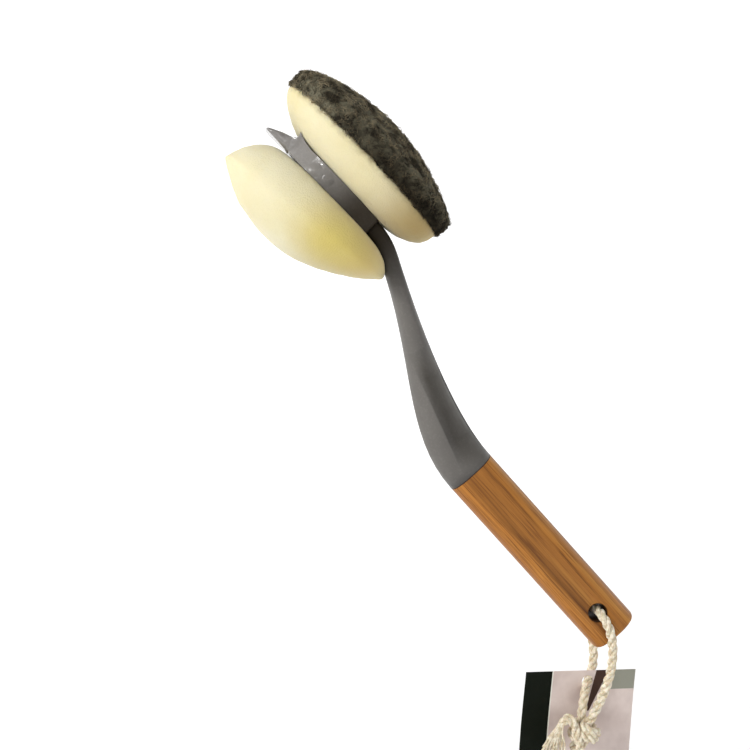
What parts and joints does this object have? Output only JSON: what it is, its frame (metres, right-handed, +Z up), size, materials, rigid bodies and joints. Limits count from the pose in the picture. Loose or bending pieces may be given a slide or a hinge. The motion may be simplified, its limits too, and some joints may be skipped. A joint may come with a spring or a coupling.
{
  "type": "dish wand",
  "caption": "Dish wand with a bamboo handle, a curved neck and a pull-off head carrying a foam sponge on each side of a plate with a scraper lip, hung on a knotted cord.",
  "frame": {"origin": "middle of the bamboo handle, on its axis, where a hand or a clip holds it", "axes": "+Z up as the wand is held in the picture, X to the right with the handle sloping down along it, Y across the bend"},
  "size_m": [0.1827, 0.0612, 0.3467],
  "materials": {
    "bamboo": "satin bamboo, straight grain along the handle",
    "neck_plastic": "matt grey moulded plastic",
    "head_plastic": "glossy grey moulded plastic",
    "foam": "cream open-cell foam",
    "scouring_fibre": "dark grey fibre web",
    "cotton": "undyed twisted cotton",
    "card": "printed card, left without words"
  },
  "bodies": {
    "wand": {"bamboo_handle": "bamboo", "neck": "neck_plastic", "hang_cord": "cotton", "cord_knot": "cotton", "cord_tail": "cotton", "frayed_end": "cotton", "hang_tag": "card"},
    "head": {"head_plate": "head_plastic", "upper_foam": "foam", "scouring_pad": "scouring_fibre", "lower_foam": "foam"}
  },
  "joints": [
    {"name": "head_release", "type": "slide", "parent": "wand", "child": "head", "axis": [-0.7071, 0, 0.7071], "range_m": [0, 0.032]}
  ]
}
